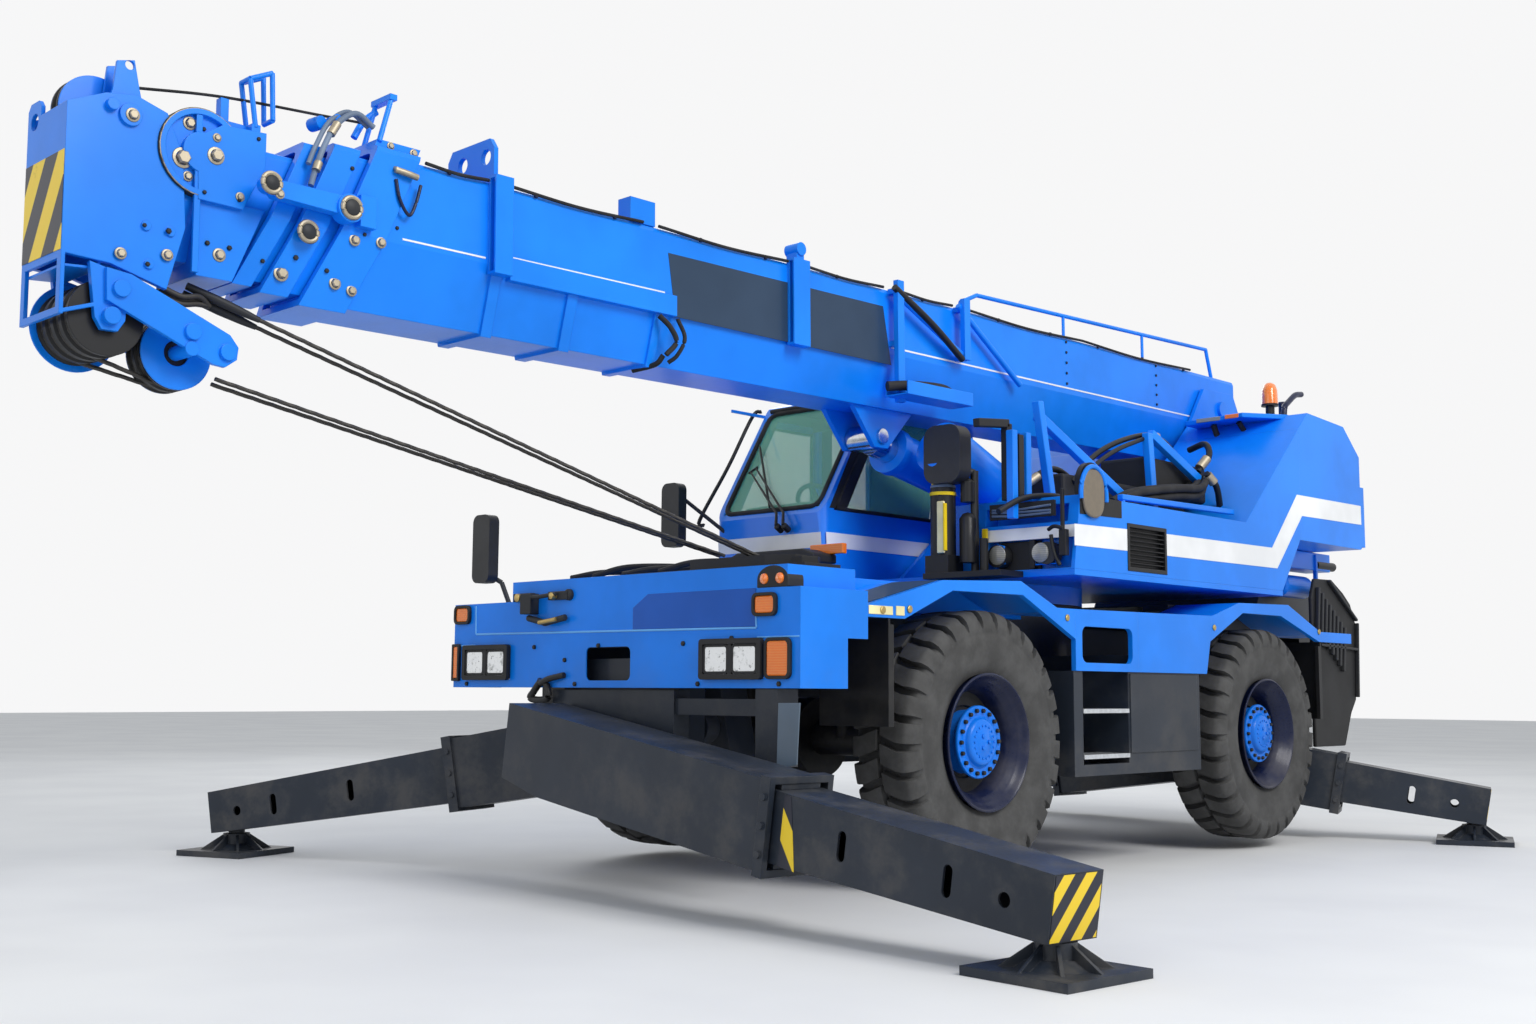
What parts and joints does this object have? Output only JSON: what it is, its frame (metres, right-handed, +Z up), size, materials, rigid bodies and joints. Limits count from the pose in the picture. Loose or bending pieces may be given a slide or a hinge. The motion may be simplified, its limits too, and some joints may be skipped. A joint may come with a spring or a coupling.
{
  "type": "two-axle rough-terrain mobile crane",
  "caption": "Mobile crane parked on spread outriggers, telescopic boom stowed level over the front, cab beside the boom, large block-tread tyres.",
  "frame": {"origin": "point on the ground under the slewing centre, the point that a crane's working radius is measured from", "axes": "front faces -Y, the machine's left side is +X, +Z up"},
  "size_m": [6.4476, 9.5264, 3.6994],
  "materials": {
    "blue_paint": "gloss paint",
    "dark_blue_paint": "gloss paint",
    "slate_paint": "satin paint",
    "black_steel": "satin paint",
    "tyre_rubber": "matte",
    "black_plastic": "matte",
    "amber_plastic": "clear amber",
    "lamp_glass": "clear lens",
    "tinted_glass": "tinted",
    "seat_fabric": "woven",
    "tread_plate": "galvanised",
    "chrome_rod": "polished",
    "cast_steel": "machined"
  },
  "bodies": {
    "carrier": {"chassis_frame": "slate_paint", "front_subframe": "slate_paint", "rear_subframe": "slate_paint", "front_body": "blue_paint", "headlamps": "lamp_glass", "marker_lamps": "amber_plastic", "fenders": "blue_paint", "side_panels": "blue_paint", "step_surrounds": "blue_paint", "side_boxes": "slate_paint", "step_treads": "tread_plate", "mudguards": "black_steel", "engine_hood": "slate_paint", "engine": "cast_steel", "slewing_bearing": "cast_steel", "front_axle": "black_steel", "rear_axle": "black_steel", "carrier_mirrors": "black_plastic", "hook_block": "black_steel"},
    "upper": {"turntable_frame": "blue_paint", "machinery_cover": "blue_paint", "grille": "black_steel", "counterweight": "blue_paint", "winch": "black_steel", "cab_shell": "blue_paint", "cab_glass": "tinted_glass", "cab_interior": "seat_fabric", "cab_mirrors": "black_plastic", "work_lamps": "black_plastic", "left_fittings": "black_steel", "beacon": "amber_plastic"},
    "cab_door": {"cab_door": "blue_paint", "cab_door_glass": "tinted_glass"},
    "boom_base": {"boom_base": "blue_paint"},
    "boom_second": {"boom_second": "blue_paint"},
    "boom_third": {"boom_third": "blue_paint"},
    "boom_head": {"boom_head": "blue_paint", "head_sheaves": "black_steel"},
    "luff_barrel": {"luff_barrel": "blue_paint"},
    "luff_rod": {"luff_rod": "chrome_rod"},
    "knuckle_front_left": {"knuckle_front_left": "black_steel"},
    "wheel_front_left": {"rim_front_left": "dark_blue_paint", "tyre_front_left": "tyre_rubber"},
    "outrigger_box_front_left": {"outrigger_box_front_left": "slate_paint"},
    "outrigger_beam_front_left": {"outrigger_beam_front_left": "slate_paint"},
    "knuckle_front_right": {"knuckle_front_right": "black_steel"},
    "wheel_front_right": {"rim_front_right": "dark_blue_paint", "tyre_front_right": "tyre_rubber"},
    "outrigger_box_front_right": {"outrigger_box_front_right": "slate_paint"},
    "outrigger_beam_front_right": {"outrigger_beam_front_right": "slate_paint"},
    "knuckle_rear_left": {"knuckle_rear_left": "black_steel"},
    "wheel_rear_left": {"rim_rear_left": "dark_blue_paint", "tyre_rear_left": "tyre_rubber"},
    "outrigger_box_rear_left": {"outrigger_box_rear_left": "slate_paint"},
    "outrigger_beam_rear_left": {"outrigger_beam_rear_left": "slate_paint"},
    "knuckle_rear_right": {"knuckle_rear_right": "black_steel"},
    "wheel_rear_right": {"rim_rear_right": "dark_blue_paint", "tyre_rear_right": "tyre_rubber"},
    "outrigger_box_rear_right": {"outrigger_box_rear_right": "slate_paint"},
    "outrigger_beam_rear_right": {"outrigger_beam_rear_right": "slate_paint"}
  },
  "joints": [
    {"name": "steer_front_left", "type": "hinge", "parent": "carrier", "child": "knuckle_front_left", "pos_m": [1.04, -1.75, 0.741], "axis": [0, 0, 1], "range_deg": [-28, 28]},
    {"name": "spin_front_left", "type": "hinge", "parent": "knuckle_front_left", "child": "wheel_front_left", "pos_m": [1.12, -1.75, 0.741], "axis": [1, 0, 0], "continuous": true},
    {"name": "outrigger_tilt_front_left", "type": "hinge", "parent": "carrier", "child": "outrigger_box_front_left", "pos_m": [-0.26759, -3.40587, 0.72431], "axis": [-0.0872, -0.9962, 0], "range_deg": [0, 8]},
    {"name": "outrigger_extend_front_left", "type": "slide", "parent": "outrigger_box_front_left", "child": "outrigger_beam_front_left", "axis": [0.9853, -0.0862, -0.1478], "range_m": [-1.15, 0]},
    {"name": "steer_front_right", "type": "hinge", "parent": "carrier", "child": "knuckle_front_right", "pos_m": [-1.04, -1.75, 0.741], "axis": [0, 0, 1], "range_deg": [-28, 28]},
    {"name": "spin_front_right", "type": "hinge", "parent": "knuckle_front_right", "child": "wheel_front_right", "pos_m": [-1.12, -1.75, 0.741], "axis": [1, 0, 0], "continuous": true},
    {"name": "outrigger_tilt_front_right", "type": "hinge", "parent": "carrier", "child": "outrigger_box_front_right", "pos_m": [0.13521, -2.56527, 0.80968], "axis": [-0.342, 0.9397, 0], "range_deg": [0, 8]},
    {"name": "outrigger_extend_front_right", "type": "slide", "parent": "outrigger_box_front_right", "child": "outrigger_beam_front_right", "axis": [-0.9254, -0.3368, -0.1736], "range_m": [-1.3, 0]},
    {"name": "steer_rear_left", "type": "hinge", "parent": "carrier", "child": "knuckle_rear_left", "pos_m": [1.04, 1.354, 0.741], "axis": [0, 0, 1], "range_deg": [-28, 28]},
    {"name": "spin_rear_left", "type": "hinge", "parent": "knuckle_rear_left", "child": "wheel_rear_left", "pos_m": [1.12, 1.354, 0.741], "axis": [1, 0, 0], "continuous": true},
    {"name": "outrigger_tilt_rear_left", "type": "hinge", "parent": "carrier", "child": "outrigger_box_rear_left", "pos_m": [-0.18345, 1.88889, 0.66862], "axis": [0.342, -0.9397, 0], "range_deg": [0, 8]},
    {"name": "outrigger_extend_rear_left", "type": "slide", "parent": "outrigger_box_rear_left", "child": "outrigger_beam_rear_left", "axis": [0.9254, 0.3368, -0.1736], "range_m": [-0.48, 0.78]},
    {"name": "steer_rear_right", "type": "hinge", "parent": "carrier", "child": "knuckle_rear_right", "pos_m": [-1.04, 1.354, 0.741], "axis": [0, 0, 1], "range_deg": [-28, 28]},
    {"name": "spin_rear_right", "type": "hinge", "parent": "knuckle_rear_right", "child": "wheel_rear_right", "pos_m": [-1.12, 1.354, 0.741], "axis": [1, 0, 0], "continuous": true},
    {"name": "outrigger_tilt_rear_right", "type": "hinge", "parent": "carrier", "child": "outrigger_box_rear_right", "pos_m": [0.58954, 2.77032, 0.64809], "axis": [0.0872, 0.9962, 0], "range_deg": [0, 8]},
    {"name": "outrigger_extend_rear_right", "type": "slide", "parent": "outrigger_box_rear_right", "child": "outrigger_beam_rear_right", "axis": [-0.9853, 0.0862, -0.1478], "range_m": [-0.48, 0.78]},
    {"name": "slew", "type": "hinge", "parent": "carrier", "child": "upper", "pos_m": [0, 0, 1.55], "axis": [0, 0, 1], "continuous": true},
    {"name": "luff", "type": "hinge", "parent": "upper", "child": "boom_base", "pos_m": [0, 2.75, 3.2], "axis": [-1, 0, 0], "range_deg": [0, 80]},
    {"name": "tele_second", "type": "slide", "parent": "boom_base", "child": "boom_second", "axis": [0, -0.9999, -0.014], "range_m": [0, 5.8]},
    {"name": "tele_third", "type": "slide", "parent": "boom_second", "child": "boom_third", "axis": [0, -0.9999, -0.014], "range_m": [0, 5.8]},
    {"name": "tele_head", "type": "slide", "parent": "boom_third", "child": "boom_head", "axis": [0, -0.9999, -0.014], "range_m": [0, 5.8]},
    {"name": "luff_barrel_tilt", "type": "hinge", "parent": "upper", "child": "luff_barrel", "pos_m": [0, 1.55, 1.985], "axis": [-1, 0, 0], "range_deg": [0, 77.57]},
    {"name": "luff_rod_slide", "type": "slide", "parent": "luff_barrel", "child": "luff_rod", "axis": [0, -0.9806, 0.1961], "range_m": [0, 2.197]},
    {"name": "cab_door_slide", "type": "slide", "parent": "upper", "child": "cab_door", "axis": [0, 1, 0], "range_m": [0, 0.53]}
  ],
  "couplings": [
    {"joint": "tele_third", "follows": "tele_second", "ratio": 1},
    {"joint": "tele_head", "follows": "tele_second", "ratio": 1},
    {"joint": "luff_barrel_tilt", "follows": "luff", "ratio": 0.96342},
    {"joint": "luff_rod_slide", "follows": "luff", "m_per_rad": 1.5663}
  ]
}
